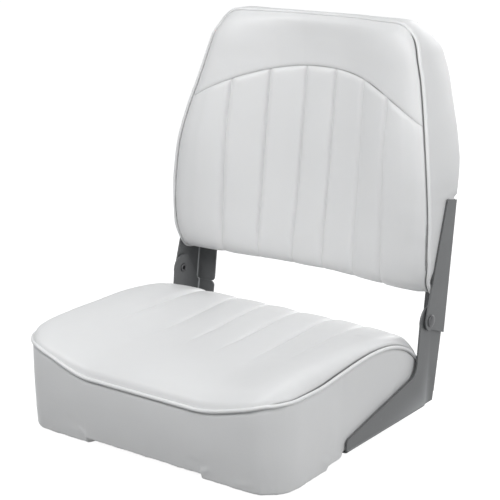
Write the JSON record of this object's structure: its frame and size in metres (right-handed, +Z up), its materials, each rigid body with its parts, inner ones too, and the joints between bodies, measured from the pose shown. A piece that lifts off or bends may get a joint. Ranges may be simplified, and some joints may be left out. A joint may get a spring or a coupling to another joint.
{
  "type": "folding boat seat",
  "caption": "Padded folding boat seat: a dished seat cushion on a moulded pan, and a channelled back that folds forward on riveted steel side hinges.",
  "frame": {"origin": "centre of the square bolt pattern, in the plane of the pan's mounting pads", "axes": "+Z up from the mounting plane, -Y towards the seat's front edge, +X to the sitter's left along the hinge axis"},
  "size_m": [0.4362, 0.45, 0.5282],
  "materials": {
    "vinyl": "white marine vinyl, low sheen, fine grain",
    "grey_paint": "mid-grey paint on pressed steel, satin",
    "zinc": "zinc-plated steel",
    "moulding": "off-white moulded polyethylene, matte",
    "foam": "cut polyurethane foam"
  },
  "bodies": {
    "seat": {"seat_pan": "moulding", "seat_foam": "foam", "seat_top_panel": "vinyl", "seat_boxing": "vinyl", "seat_piping": "vinyl", "t_nut_front_left": "zinc", "t_nut_front_right": "zinc", "t_nut_rear_left": "zinc", "t_nut_rear_right": "zinc", "lower_bracket_left": "grey_paint", "lower_bracket_right": "grey_paint", "bracket_screw_left_front": "zinc", "bracket_screw_left_rear": "zinc", "bracket_screw_right_front": "zinc", "bracket_screw_right_rear": "zinc", "hinge_rivet_left": "zinc", "hinge_rivet_right": "zinc", "hinge_washer_left": "zinc", "hinge_washer_right": "zinc"},
    "back": {"upper_arm_left": "grey_paint", "upper_arm_right": "grey_paint", "arm_screw_left_1": "zinc", "arm_screw_left_2": "zinc", "arm_screw_left_3": "zinc", "arm_screw_right_1": "zinc", "arm_screw_right_2": "zinc", "arm_screw_right_3": "zinc", "back_shell": "moulding", "back_foam": "foam", "back_upper_panel": "vinyl", "back_lower_panel": "vinyl", "back_boxing": "vinyl", "back_piping": "vinyl", "back_rear_panel": "vinyl"}
  },
  "joints": [
    {"name": "back_fold", "type": "hinge", "parent": "seat", "child": "back", "pos_m": [0, 0.1602, 0.1295], "axis": [1, 0, 0], "range_deg": [0, 77]}
  ]
}
